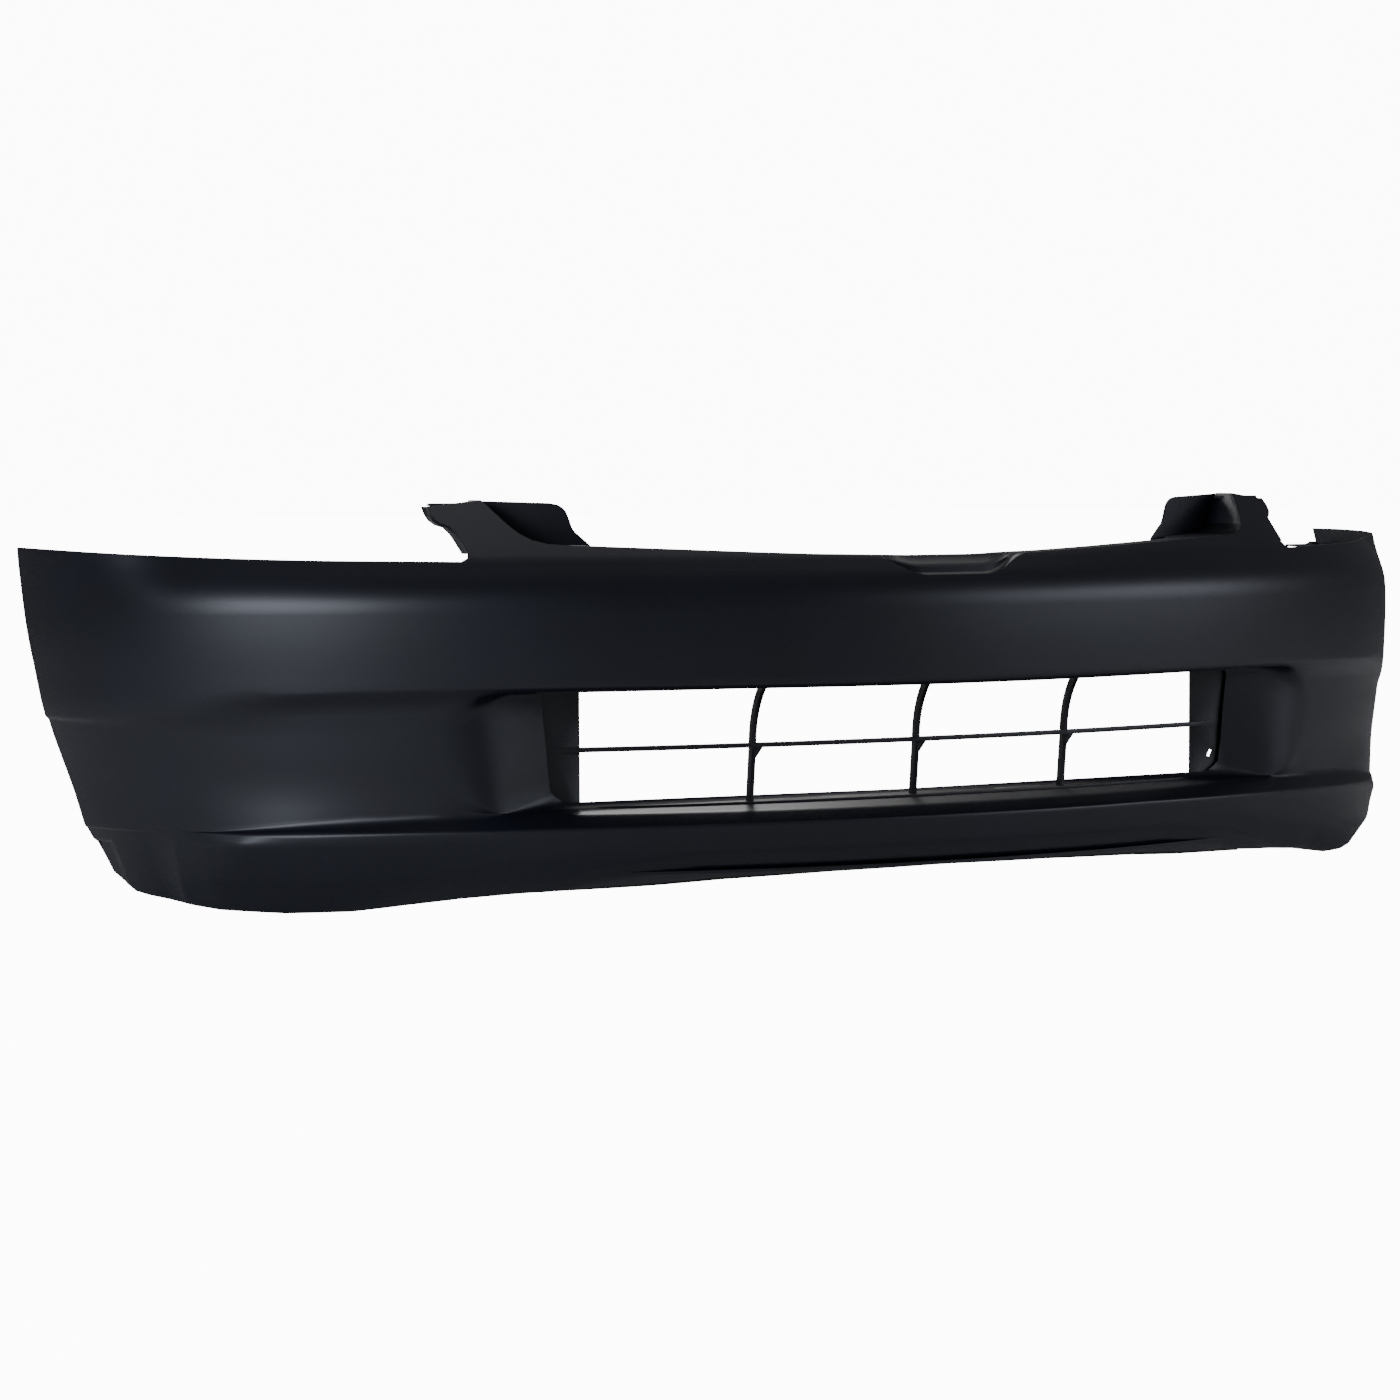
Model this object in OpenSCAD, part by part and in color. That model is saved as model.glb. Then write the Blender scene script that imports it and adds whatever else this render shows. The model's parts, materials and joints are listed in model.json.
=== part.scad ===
// Front bumper cover of a mid-size car: one thin moulded skin with a lower grille,
// side retainers, push-in clips and fixings. Millimetres, +Z up, -Y is the front of the car,
// origin at the middle of the footprint on the plane under the chin.

/* [Skin] */
// Radius of the wide front arc in plan
front_r = 1252; // [1240:1:1262]
// Radius of the two corners in plan
corner_r = 502; // [496:1:506]
// Wall of the moulding
wall = 3; // [2.6:0.1:3.4]
// Height of the ledge that the headlamps sit over
lamp_ledge_z = 378; // [376:1:380]

/* [Lower opening] */
// Underside of the band over the lower opening
opening_top = 246; // [244:1:248]
// Top of the shelf under the lower opening
opening_bottom = 111; // [109:1:113]
// Half width of the opening between the two scoops
opening_half_w = 462; // [455:1:465]
// Where each scoop leaves the skin, from the middle
scoop_start = 545; // [540:1:550]
// Radius of the lower corners of the opening
opening_corner_r = 50; // [40:1:55]

/* [Lower grille] */
// Radius of the grille bars in plan
grille_r = 1950; // [1900:10:2000]
// Front face of the crossbar at the middle
grille_y = -205; // [-208:1:-202]
// Height of the crossbar's middle
crossbar_z = 177; // [172:1:182]
// Thickness of the bars
bar_t = 5; // [4:0.5:6]
// Depth of the bars from front to back
bar_depth = 10; // [8:1:12]
// Spacing of the three upright vanes
vane_pitch = 202; // [190:1:210]
// Inner edge of each end plate, from the middle
end_plate_in = 398; // [392:1:404]

/* [Fixings] */
// Radius of the clip holes in the ledges
clip_hole_r = 4; // [3.8:0.1:4.2]
// Radius of the pin in each push-in clip
pin_r = 2.5; // [2.3:0.1:2.6]
// Radius of the grille screws
screw_r = 2; // [1.8:0.1:2.1]
// Radius of the thread hole in the liner nuts
liner_thread_r = 2.2; // [2:0.1:2.4]
// Width of the undertray slots in the bottom lip
slot_w = 5; // [4:0.5:6]
// Length of the undertray slots
slot_l = 24; // [20:1:28]

/* [Hidden] */
$fn = 96;
// the plan is a wide front arc and a tangent arc at each corner; they meet on the line
// through their centres, whose direction is a round fraction (336, 527, 625 is a right triangle)
join = [0.5376, 0.8432];
half_w = join[0] * (front_r - corner_r) + corner_r;
cover_w = 2 * half_w;
cover_d = front_r - join[1] * (front_r - corner_r);
front_y = -cover_d / 2;
front_cy = front_y + front_r;
corner_cx = half_w - corner_r;
corner_cy = -front_y;
grille_cy = grille_y + grille_r;
rail_t = 3;
top_rail_ahead = 35;
end_plate_out = 474;
tall = 500;
lip_top = 48;
ear_ledge_z = 449;
// section of the skin as [inset from the plan line, height], from the chin up to the ear tops
section = [[44, 0], [30, 14], [17, 40], [8, 68], [4, 96], [18, opening_bottom + 2], [14, 160],
           [12, 236], [1, 252], [0, 305], [2, 356], [30, 389], [104, 456]];
// each ledge starts this far ahead of the skin's face, as a fine moulded bead
bead = 0.4;
// top edge seen from the front: emblem dip, grille edge, ear, notch and headlamp edge
ear_edge = [[443, 404], [466, 413], [481, 431], [491, 452], [547, 450], [545, 434], [537, 428],
            [532, 410], [527, 397], [520, 387]];
middle_edge = [[0, 367], [51, 367], [84, 388], [200, 393]];
lamp_edge = [[700, 389], [800, 392], [half_w + 5, 400]];
top_edge = concat(middle_edge, ear_edge, lamp_edge);
// bottom edge seen from the front: low at the corners, raised under the opening
bottom_edge = [[0, 44], [140, 42], [260, 38], [340, 33], [435, 29], [495, 25], [544, 20], [592, 12],
               [650, 0], [757, 0], [782, 7], [821, 22], [half_w + 5, 30]];
// rear edge of each corner seen from the side: fender seam above, wheel arch below
arch_edge = [[310, 401], [268, 293], [232, 213], [198, 133], [160, 52], [140, 20], [110, -1]];
// the lip behind the chin hangs this far below the chin's own bottom edge
lip_drop = 4;
lip_inset = 50;
// the frame of the lower opening reaches back to the end plates of the grille
plate_y = grille_y + 48;
frame_back = plate_y + 15;
clip_angles = [66, 84];
clip_inset = 36;
retainer_angles = [60, 85.5];
pad_angles = [38, 56];
screw_x = [110, 330];
screw_hole_r = screw_r + 0.15;
top_screw_back = 20;
bottom_screw_back = 18;
ear_hole_x = 519;
top_hole_x = [150, 350];
top_hole_inset = 42;
slot_x = [262, 418];
slot_z = [39, 33];
liner_nut_z = [118, 255];
liner_nut_inset = [30, 13];
liner_hole_r = 4;
nut_t = 1;
nut_gap = 0.1;
arch_flange_w = 24;

// unit vector from point a to point b
function heading(a, b) = (b - a) / norm(b - a);
// one point of a line moved t to its left, with mitred corners
function shifted(p, i, t) =
    let (u = heading(p[max(i - 1, 0)], p[max(i, 1)]),
         v = heading(p[min(i, len(p) - 2)], p[min(i + 1, len(p) - 1)]),
         n = [u[1] + v[1], -u[0] - v[0]])
    [for (v = p[i] + n * 2 * t / (n * n)) round(v * 100) / 100];
// a closed strip t thick along an open line
function strip(p, t) = concat(p, [for (i = [len(p) - 1:-1:0]) shifted(p, i, t)]);
// how far the skin's face stands back from the plan line at a height
function skin_inset(z) = lookup(z, [for (s = section) [s[1], s[0]]]);
// plan line of the skin at an inset, over the front arc
function skin_y(x, inset) = front_cy - sqrt(pow(front_r - inset, 2) - x * x);
// plan line of a grille bar whose front face is ahead of the crossbar by a distance
function bar_y(x, ahead) = grille_cy - sqrt(pow(grille_r + ahead, 2) - x * x);
// rear edge of the corner at a height, and how far it leans back there
function arch_y(z) = lookup(z, [for (k = [len(arch_edge) - 1:-1:0]) [arch_edge[k][1], arch_edge[k][0]]]);
function arch_tilt(z) = atan((arch_y(z + 5) - arch_y(z - 5)) / 10);

// a section of [inset, height] points carried along the front arc and both corners
module around(points) {
    reach = 1400;
    intersection() {
        revolved(points, [0, front_cy], front_r);
        wedge([[0, front_cy], [0, front_cy] + reach * [join[0], -join[1]],
               [0, front_cy - 1600], [0, front_cy] + reach * [-join[0], -join[1]]]);
    }
    for (side = [-1, 1])
        intersection() {
            revolved(points, [side * corner_cx, corner_cy], corner_r);
            wedge([[side * corner_cx, corner_cy],
                   [side * (corner_cx + join[0] * 800), corner_cy - join[1] * 800],
                   [side * 2000, corner_cy - 600], [side * 2000, corner_cy]]);
        }
}

// a section turned right round a centre, at insets from a radius
module revolved(points, centre, r) {
    translate([centre[0], centre[1], 0])
        rotate_extrude($fn = 720)
            polygon([for (p = points) [r - p[0], p[1]]]);
}

// a prism over a plan outline
module wedge(outline) {
    translate([0, 0, -60])
        linear_extrude(tall + 100)
            polygon(outline);
}

// the same section along part of the right corner, between two angles from the front
module corner(points, from, to) {
    translate([corner_cx, corner_cy, 0])
        rotate([0, 0, 270 + from])
            rotate_extrude(angle = to - from, $fn = 360)
                polygon([for (p = points) [corner_r - p[0], p[1]]]);
}

// a place on the right corner, turned so that its own -Y points out of the skin
module on_corner(angle, inset, z) {
    translate([corner_cx + (corner_r - inset) * sin(angle),
               corner_cy - (corner_r - inset) * cos(angle), z])
        rotate([0, 0, angle])
            children();
}

// an outline of [x, z] points pushed through the part from front to back
module through(points) {
    rotate([90, 0, 0])
        linear_extrude(cover_d + 40, center = true)
            polygon(points);
}

module both_sides() {
    children();
    mirror([1, 0, 0])
        children();
}

// a flat ledge one wall thick behind the skin, its top at one height, back to an inset
module ledge(top, back) {
    front = max(skin_inset(top), skin_inset(top - wall)) - bead;
    around([[front, top - wall], [back, top - wall], [back, top], [front, top]]);
}

module box(low, high) {
    translate(low)
        cube(high - low);
}

// everything above the top edge and below the bottom edge, both halves
module trim_edges() {
    both_sides() {
        through(concat([[-0.01, tall]], [[-0.01, top_edge[0][1]]], top_edge, [[half_w + 5, tall]]));
        through(concat([[-0.01, -60]], [[-0.01, bottom_edge[0][1]]], bottom_edge, [[half_w + 5, -60]]));
    }
}

// everything behind the fender seam and the wheel arch, shifted forward by a distance
module arch_cut(forward) {
    rotate([90, 0, 90])
        linear_extrude(cover_w + 40, center = true)
            polygon(concat([for (p = arch_edge) [p[0] - forward, p[1]]],
                           [[110 - forward, -60], [tall, -60], [tall, tall], [310 - forward, tall]]));
}

// window for the lower opening, with round lower corners
module opening_outline() {
    rise = opening_top - opening_bottom;
    r = opening_corner_r;
    translate([-opening_half_w, opening_bottom + r])
        square([2 * opening_half_w, rise - r]);
    translate([-opening_half_w + r, opening_bottom])
        square([2 * opening_half_w - 2 * r, rise]);
    for (side = [-1, 1])
        translate([side * (opening_half_w - r), opening_bottom + r])
            circle(r);
}

// flat scoop that leads from the skin in to the end plate of the grille
module scoop_wall() {
    start = [scoop_start + 8, skin_y(scoop_start, 12) + 2.5];
    corner_strip = 60;
    translate([0, 0, opening_bottom - wall])
        linear_extrude(opening_top - opening_bottom + 2 * wall)
            polygon([start, [opening_half_w, plate_y - wall],
                     [opening_half_w - corner_strip, plate_y - wall],
                     [opening_half_w - corner_strip, plate_y],
                     [opening_half_w, plate_y], start + [0, wall]]);
}

// plan of the walls over and under the lower opening: between the scoops, back to the grille
module frame_plan(low, high) {
    start_y = skin_y(scoop_start, 12) + 9;
    translate([0, 0, low])
        linear_extrude(high - low)
            polygon([[-scoop_start - 9, front_y - 20], [scoop_start + 9, front_y - 20],
                     [scoop_start + 9, start_y], [opening_half_w + 16, frame_back],
                     [-opening_half_w - 16, frame_back], [-scoop_start - 9, start_y]]);
}

// thin strip along the middle of the top edge, turned back as a flange
module middle_flange() {
    line = concat([[-0.01, middle_edge[0][1]]], middle_edge, [ear_edge[0]]);
    upper_skin = [for (s = section) if (s[1] >= 356) s];
    depth = 45;
    intersection() {
        both_sides()
            through(concat(line, [for (i = [len(line) - 1:-1:0]) line[i] - [0, wall]]));
        around(concat([for (s = upper_skin) s - [bead, 0]],
                      [for (i = [len(upper_skin) - 1:-1:0]) upper_skin[i] + [depth, 0]]));
    }
}

// flange along the fender seam and wheel arch, turned in from the skin
module arch_flange() {
    side_skin = [for (s = section) if (s[1] > 5 && s[1] < 380) s];
    intersection() {
        difference() {
            arch_cut(wall);
            arch_cut(0);
        }
        around(concat(side_skin, [for (i = [len(side_skin) - 1:-1:0])
                                      side_skin[i] + [arch_flange_w, 0]]));
    }
}

// a liner fixing on the rear edge of the right corner, turned square to the flange there
module on_arch(i) {
    z = liner_nut_z[i];
    reach = corner_r - liner_nut_inset[i];
    along = corner_cy - arch_y(z);
    translate([corner_cx + sqrt(reach * reach - along * along), arch_y(z), z])
        rotate([-arch_tilt(z), 0, 0])
            children();
}

// The skin is one injection moulding: bumper band, side panels, chin, ears and flanges.
module cover() {
    color("#202126")
    difference() {
        union() {
            difference() {
                around(strip(section, -wall));
                trim_edges();
                box([-scoop_start, front_y - 20, opening_bottom], [scoop_start, 60, opening_top]);
            }
            // underside of the band and the shelf below the opening
            intersection() {
                union() {
                    ledge(opening_top + wall, 115);
                    ledge(opening_bottom, 170);
                }
                frame_plan(opening_bottom - 10, opening_top + 10);
            }
            difference() {
                both_sides()
                    scoop_wall();
                rotate([90, 0, 0])
                    linear_extrude(cover_d, center = true)
                        opening_outline();
            }
            middle_flange();
            // ledges under the headlamps
            both_sides()
                intersection() {
                    ledge(lamp_ledge_z, 58);
                    box([550, front_y, 300], [half_w + 10, 400, 400]);
                }
            // ledge behind the top of each ear
            both_sides()
                intersection() {
                    ledge(ear_ledge_z, 126);
                    box([494, front_y, 400], [544, 100, 500]);
                }
            // bottom flange and the lip that hangs from it
            intersection() {
                union() {
                    ledge(lip_top, lip_inset + wall);
                    around([[lip_inset, 20], [lip_inset + wall, 20], [lip_inset + wall, lip_top],
                            [lip_inset, lip_top]]);
                }
                box([-455, front_y - 20, 0], [455, 60, 60]);
            }
            arch_flange();
        }
        arch_cut(0);
        both_sides() {
            through(concat([[-0.01, -60], [-0.01, bottom_edge[0][1] - lip_drop]],
                           [for (p = bottom_edge) p - [0, lip_drop]], [[half_w + 5, -60]]));
            for (angle = clip_angles)
                on_corner(angle, clip_inset, lamp_ledge_z)
                    cylinder(r = clip_hole_r, h = 20, center = true);
            for (x = top_hole_x)
                translate([x, skin_y(x, top_hole_inset), 390])
                    cylinder(r = clip_hole_r, h = 40, center = true);
            translate([ear_hole_x, skin_y(ear_hole_x, 112), ear_ledge_z])
                cylinder(r = clip_hole_r, h = 20, center = true);
            for (i = [0, 1])
                undertray_slot(slot_x[i], slot_z[i]);
            grille_screw_holes();
            for (i = [0, 1])
                on_arch(i)
                    rotate([90, 0, 0])
                        cylinder(r = liner_hole_r, h = 30, center = true);
        }
    }
}

module undertray_slot(x, z) {
    translate([x, skin_y(x, lip_inset), z])
        rotate([90, 0, 0]) {
            for (end = [-1, 1])
                translate([end * (slot_l - slot_w) / 2, 0, 0])
                    cylinder(d = slot_w, h = 40, center = true);
            cube([slot_l - slot_w, slot_w, 40], center = true);
        }
}

// where the grille screws go, through a rail and the cover's wall
module at_top_screws() {
    for (x = screw_x)
        translate([x, bar_y(x, top_rail_ahead - top_screw_back), opening_top])
            children();
}

module at_bottom_screws() {
    for (x = screw_x)
        translate([x, bar_y(x, -bottom_screw_back), opening_bottom])
            children();
}

module grille_screw_holes() {
    at_top_screws()
        cylinder(r = screw_hole_r, h = 20, center = true);
    at_bottom_screws()
        cylinder(r = screw_hole_r, h = 20, center = true);
}

// a bar of the grille's own curve: how far ahead its front is, its depth, and its heights
module grille_bar(ahead, depth, low, high, reach) {
    intersection() {
        translate([0, grille_cy, low])
            difference() {
                cylinder(r = grille_r + ahead, h = high - low, $fn = 720);
                translate([0, 0, -1])
                    cylinder(r = grille_r + ahead - depth, h = high - low + 2, $fn = 720);
            }
        box([-reach, -400, low - 1], [reach, 0, high + 1]);
    }
}

// upright vane: straight below the crossbar, curved forward above it
module vane(x) {
    rise = opening_top - crossbar_z;
    drop = crossbar_z - opening_bottom;
    lean = 30;
    curve_r = (lean * lean + rise * rise) / (2 * lean);
    translate([x, bar_y(x, 0), crossbar_z])
        rotate([90, 0, 90])
            linear_extrude(bar_t, center = true) {
                intersection() {
                    translate([-curve_r, 0])
                        difference() {
                            circle(curve_r + bar_depth);
                            circle(curve_r);
                        }
                    translate([-lean - 5, 0])
                        square([lean + bar_depth + 5, rise]);
                }
                polygon([[0, 0], [8, -drop], [8 + bar_depth, -drop], [bar_depth, 0]]);
            }
}

// The lower grille is one moulding: two end plates, two rails, a crossbar and three vanes.
module lower_grille() {
    color("#17181b")
    difference() {
        union() {
            grille_bar(top_rail_ahead, 55, opening_top - rail_t, opening_top, opening_half_w - 1);
            grille_bar(0, 42, opening_bottom, opening_bottom + rail_t, opening_half_w - opening_corner_r - 1);
            grille_bar(0, bar_depth, crossbar_z - bar_t / 2, crossbar_z + bar_t / 2, 434);
            for (i = [-1:1])
                vane(i * vane_pitch);
            for (i = [-1:1])
                translate([i * vane_pitch + 1, bar_y(i * vane_pitch, 0), crossbar_z])
                    rotate([90, 0, 0])
                        translate([0, 0, -bar_depth])
                            linear_extrude(bar_depth - 1)
                                polygon([[0, 0], [12, 0], [0, -16]]);
            both_sides()
                box([end_plate_in, plate_y, opening_bottom],
                    [end_plate_out, plate_y + rail_t, opening_top]);
        }
        both_sides()
            grille_screw_holes();
        // two small slots in the right-hand end plate only
        for (p = [[457, 187], [426, 141]])
            translate([p[0], plate_y, p[1]])
                rotate([0, 25, 0])
                    cube([5, 20, 9], center = true);
    }
}

// Channel that ties the corner of the skin to the fender; it hangs under the lamp ledge.
module side_retainer() {
    color("#2b2c30")
    difference() {
        corner([[7, 325], [10, 325], [10, 351], [27, 372], [52, 372], [52, 375], [25.5, 375],
                [7, 353]], retainer_angles[0], retainer_angles[1]);
        for (angle = clip_angles)
            on_corner(angle, clip_inset, lamp_ledge_z)
                cylinder(r = clip_hole_r, h = 20, center = true);
        // slots that the fender's hooks snap into
        for (angle = [70, 75, 80])
            on_corner(angle, 8, 338)
                cube([22, 12, 8], center = true);
    }
}

module side_retainer_right() {
    side_retainer();
}

module side_retainer_left() {
    mirror([1, 0, 0])
        side_retainer();
}

// Two-piece push-in clip: flanged barrel with a waist under the retainer.
module clip_body() {
    color("#111214")
    difference() {
        union() {
            cylinder(r = 9, h = 1.6);
            translate([0, 0, 1.6])
                cylinder(r = 7, h = 0.8);
            translate([0, 0, -2 * wall - 8])
                cylinder(r = clip_hole_r - 0.1, h = 2 * wall + 8);
            translate([0, 0, -2 * wall - 6])
                cylinder(r1 = clip_hole_r - 0.1, r2 = clip_hole_r + 0.9, h = 5.9);
        }
        cylinder(r = pin_r + 0.05, h = 60, center = true);
    }
}

// Centre pin of a clip; it slides up to let the barrel's legs close.
module clip_pin() {
    color("#3a3b3f") {
        translate([0, 0, -2 * wall - 8])
            cylinder(r = pin_r, h = 2 * wall + 10.4);
        translate([0, 0, 2.4])
            cylinder(r = 5, h = 1.6);
    }
}

module clip_bodies_right() {
    for (angle = clip_angles)
        on_corner(angle, clip_inset, lamp_ledge_z)
            clip_body();
}

module clip_bodies_left() {
    mirror([1, 0, 0])
        clip_bodies_right();
}

module clip_pin_right_front() {
    on_corner(clip_angles[0], clip_inset, lamp_ledge_z)
        clip_pin();
}

module clip_pin_right_rear() {
    on_corner(clip_angles[1], clip_inset, lamp_ledge_z)
        clip_pin();
}

module clip_pin_left_front() {
    mirror([1, 0, 0])
        clip_pin_right_front();
}

module clip_pin_left_rear() {
    mirror([1, 0, 0])
        clip_pin_right_rear();
}

// Pan-head screw, head at the origin and shank along +Z.
module grille_screw(shank) {
    color("#6f7276") {
        difference() {
            translate([0, 0, -2.4])
                cylinder(r = 4.2, h = 2.4);
            for (turn = [0, 90])
                rotate([0, 0, turn])
                    translate([0, 0, -2.4])
                        cube([4.4, 1, 1.8], center = true);
        }
        cylinder(r = screw_r, h = shank);
    }
}

module grille_top_screws() {
    both_sides()
        at_top_screws()
            translate([0, 0, wall])
                mirror([0, 0, 1])
                    grille_screw(wall + rail_t);
}

module grille_bottom_screws() {
    both_sides()
        at_bottom_screws()
            translate([0, 0, -wall])
                grille_screw(wall + rail_t);
}

// Folded sheet-steel nut pushed over the inner edge of the arch flange; its front leg is
// threaded for the wheel-arch liner's screw.
module liner_nut(i) {
    front = wall * cos(arch_tilt(liner_nut_z[i])) + nut_gap;
    color("#8a8d92")
    on_arch(i)
        difference() {
            union() {
                translate([-15, -front - nut_t, -7])
                    cube([22, nut_t, 14]);
                translate([-15, nut_gap, -7])
                    cube([22, nut_t, 14]);
                translate([-15 - nut_t, -front - nut_t, -7])
                    cube([nut_t, front + nut_gap + 2 * nut_t, 14]);
            }
            rotate([90, 0, 0])
                cylinder(r = liner_thread_r, h = 30);
            rotate([-90, 0, 0])
                cylinder(r = liner_hole_r, h = 30);
        }
}

module liner_nuts_right() {
    for (i = [0, 1])
        liner_nut(i);
}

module liner_nuts_left() {
    mirror([1, 0, 0])
        liner_nuts_right();
}

// Foam strip on the lamp ledge that stops the headlamp rattling.
module lamp_pad_right() {
    color("#3b3b3d")
    corner([[30, lamp_ledge_z], [46, lamp_ledge_z], [46, lamp_ledge_z + 4], [30, lamp_ledge_z + 4]],
           pad_angles[0], pad_angles[1]);
}

module lamp_pad_left() {
    mirror([1, 0, 0])
        lamp_pad_right();
}

cover();
lower_grille();
side_retainer_left();
side_retainer_right();
clip_bodies_left();
clip_bodies_right();
clip_pin_left_front();
clip_pin_left_rear();
clip_pin_right_front();
clip_pin_right_rear();
grille_top_screws();
grille_bottom_screws();
liner_nuts_left();
liner_nuts_right();
lamp_pad_left();
lamp_pad_right();
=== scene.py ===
import json
import math

import bmesh
import bpy
import numpy as np
from mathutils import Matrix, Vector


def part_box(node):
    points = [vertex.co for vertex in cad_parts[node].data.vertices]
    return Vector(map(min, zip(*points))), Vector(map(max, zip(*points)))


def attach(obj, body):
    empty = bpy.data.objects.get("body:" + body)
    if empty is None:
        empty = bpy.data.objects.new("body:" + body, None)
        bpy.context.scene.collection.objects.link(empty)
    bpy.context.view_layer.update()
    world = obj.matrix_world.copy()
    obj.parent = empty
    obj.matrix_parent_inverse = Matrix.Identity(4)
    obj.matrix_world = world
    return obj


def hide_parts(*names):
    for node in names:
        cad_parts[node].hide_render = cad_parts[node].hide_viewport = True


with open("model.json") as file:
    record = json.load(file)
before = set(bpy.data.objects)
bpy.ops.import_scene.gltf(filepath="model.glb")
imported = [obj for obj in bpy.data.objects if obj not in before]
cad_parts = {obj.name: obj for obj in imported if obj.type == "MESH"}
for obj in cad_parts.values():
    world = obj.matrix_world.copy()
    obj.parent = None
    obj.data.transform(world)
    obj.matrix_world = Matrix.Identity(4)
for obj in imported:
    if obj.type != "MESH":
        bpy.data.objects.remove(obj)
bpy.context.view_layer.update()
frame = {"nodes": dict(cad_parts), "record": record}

# ---- Bumper skin: the moulding's plan and section ----
# One injection moulding of talc-filled polypropylene, 3 mm thick, in satin black primer.
# Its plan is a wide front arc eased into a tighter arc at each corner; its section runs from
# the chin over the crease and the band to the shoulder, and leans back into the two ears.
skin_lo, skin_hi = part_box("cover")
half_w = skin_hi.x
front_y = skin_lo.y
wall = 0.003
front_r = 1.252
corner_r = 0.502
# the plan's angle where the two arcs meet
join = math.atan2(0.5376, 0.8432)
front_c = Vector((0, front_y + front_r))
corner_c = Vector((half_w - corner_r, -front_y))
half_line = front_r * join + corner_r * (math.pi / 2 - join)

# the turn into each corner is eased over this much of the line, each way
ease_in = 0.16
stations = np.linspace(0, half_line, 1200)
turn_at = front_r * join


def heading_at(s):
    """Angle of the plan line at a place, with the turn into the corner eased."""
    if s < turn_at - ease_in:
        return s / front_r
    if s > turn_at + ease_in:
        return join + (s - turn_at) / corner_r
    t = s - (turn_at - ease_in)
    return (turn_at - ease_in) / front_r + t / front_r + (1 / corner_r - 1 / front_r) * t * t / (4 * ease_in)


headings = np.array([heading_at(s) for s in stations])
plan_x = np.concatenate([[0], np.cumsum(np.diff(stations) * np.cos((headings[1:] + headings[:-1]) / 2))])
plan_y = np.concatenate([[0], np.cumsum(np.diff(stations) * np.sin((headings[1:] + headings[:-1]) / 2))])
plan_x *= half_w / plan_x[-1]
plan_y = front_y + plan_y * (-2 * front_y / plan_y[-1])


def on_plan(s, inset, z):
    """The place s along the plan line from the middle, set in from it, at a height."""
    side = -1 if s < 0 else 1
    s = abs(s)
    angle = np.interp(s, stations, headings)
    x = np.interp(s, stations, plan_x) - inset * math.sin(angle)
    y = np.interp(s, stations, plan_y) + inset * math.cos(angle)
    return Vector((side * x, y, z))


def s_at_x(x, inset=0.0):
    """The place along the plan line where the skin, at an inset, has this x."""
    return math.copysign(float(np.interp(abs(x), plan_x - inset * np.sin(headings), stations)), x)


def s_at_y(y, inset=0.0):
    """The place along the right half of the plan line where the skin has this y."""
    return float(np.interp(y, plan_y + inset * np.cos(headings), stations))


def follow(line, x):
    """Height of a line of (x, z) points at a distance from the middle."""
    return float(np.interp(abs(x), [p[0] for p in line], [p[1] for p in line]))


def ease(low, high, x):
    """A smooth rise from 0 at low to 1 at high."""
    t = min(max((x - low) / (high - low), 0.0), 1.0)
    return t * t * (3 - 2 * t)


# rear edge of each corner seen from the side, as (y, z): fender seam above, wheel arch below
arch_line = [(0.310, 0.401), (0.304, 0.384), (0.276, 0.322), (0.2505, 0.265), (0.2215, 0.187), (0.190, 0.121),
             (0.1657, 0.056), (0.163, 0.036), (0.148, 0.026), (0.128, 0.014), (0.110, 0.000)]


def arch_y(z):
    """The y of the corner's rear edge at a height."""
    return float(np.interp(z, [p[1] for p in reversed(arch_line)], [p[0] for p in reversed(arch_line)]))


# a place where the corner's columns start to lean, so that the last one lies on the rear edge
lean_from = s_at_y(0.03)


def leaned(s, inset, z):
    """The place along the plan line once the corner's columns lean with the wheel arch."""
    if abs(s) <= lean_from:
        return s
    end = s_at_y(arch_y(z), inset)
    moved = lean_from + (abs(s) - lean_from) * (end - lean_from) / (half_line - lean_from)
    return math.copysign(moved, s)


chin_step = 0.0045


def skin_point(s, inset, z):
    """A point of the skin, with the small step in the chin just ahead of the wheel arch."""
    place = leaned(s, inset, z)
    y = on_plan(place, inset, z).y
    step = chin_step * ease(0.137, 0.142, y) * (1 - ease(0.066, 0.072, z))
    return on_plan(place, inset + step, z)


# heights of the chin's crease, the nose under it and the chin's lower facet, as (x, z)
chin_line = [(0, 0.112), (0.506, 0.112), (0.602, 0.107), (0.693, 0.099), (0.782, 0.0905), (0.9, 0.086)]
nose_line = [(0, 0.1015), (0.262, 0.101), (0.434, 0.098), (0.512, 0.096), (0.698, 0.0925),
             (0.782, 0.0895), (0.9, 0.084)]
facet_line = [(0, 0.070), (0.3, 0.069), (0.353, 0.063), (0.415, 0.055), (0.573, 0.011),
              (0.62, -0.004), (0.95, -0.02)]


def chin_inset(z):
    """How far the chin's face stands back at a height."""
    heights = [-0.03, 0, 0.014, 0.040, 0.068, 0.096]
    return float(np.interp(z, heights, [0.062, 0.044, 0.030, 0.017, 0.008, 0.004]))


# depth line of the two scoops, as (x, y): a soft bend at the skin, then nearly straight in
scoop_line = [(0, -0.1575), (0.462, -0.1595), (0.530, -0.1740), (0.560, -0.1790)]


def soft_max(a, b, blend):
    """The larger of two depths, rounded where they are close."""
    gap = max(blend - abs(a - b), 0.0)
    return max(a, b) + gap * gap / (4 * blend)


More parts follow.
